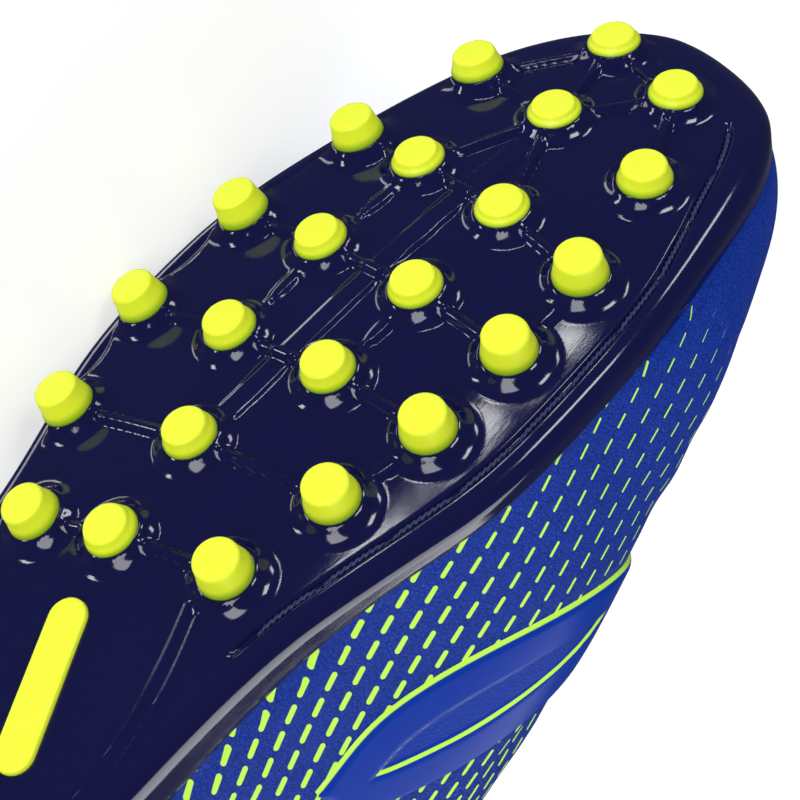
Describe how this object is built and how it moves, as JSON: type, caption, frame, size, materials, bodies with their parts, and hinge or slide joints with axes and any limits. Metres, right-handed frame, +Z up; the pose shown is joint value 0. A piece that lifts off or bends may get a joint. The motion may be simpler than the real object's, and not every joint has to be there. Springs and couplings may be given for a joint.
{
  "type": "soccer cleat",
  "caption": "Low-cut right soccer cleat with a glossy moulded stud plate, short conical studs and a hollow synthetic upper, lying on its outer side.",
  "frame": {"origin": "centre of the bounding box, on the floor that the shoe lies on", "axes": "-X towards the toe, -Y out of the sole towards the studs, +Z up, out of the inner (medial) side"},
  "size_m": [0.285, 0.1176, 0.096],
  "materials": {
    "plate": "glossy moulded",
    "stud": "satin moulded",
    "upper": "fine-grained synthetic leather",
    "trim": "satin coated",
    "textile": "knitted lining",
    "lace": "woven flat"
  },
  "bodies": {
    "root": {"outsole": "plate", "upper": "upper", "tongue": "textile", "insole": "textile", "eyestay": "trim", "heel_counter": "trim", "side_panel": "trim", "arch_inlay": "stud", "stud_t1": "stud", "stud_t2": "stud", "stud_c1": "stud", "stud_c2": "stud", "stud_c3": "stud", "stud_b1": "stud", "stud_b2": "stud", "stud_b3": "stud", "stud_b4": "stud", "stud_a1": "stud", "stud_a2": "stud", "stud_a3": "stud", "stud_a4": "stud", "stud_d1": "stud", "stud_d2": "stud", "stud_d3": "stud", "stud_d4": "stud", "stud_e1": "stud", "stud_e2": "stud", "stud_e3": "stud", "stud_f1": "stud", "stud_f2": "stud", "stud_f3": "stud", "stud_h1": "stud", "stud_h2": "stud", "stud_h3": "stud", "stud_k1": "stud", "stud_k2": "stud", "stud_k3": "stud", "stud_m1": "stud", "stud_m2": "stud", "stud_m3": "stud", "lace_bar_1": "lace", "lace_bar_2": "lace", "lace_bar_3": "lace", "lace_bar_4": "lace"}
  },
  "joints": []
}
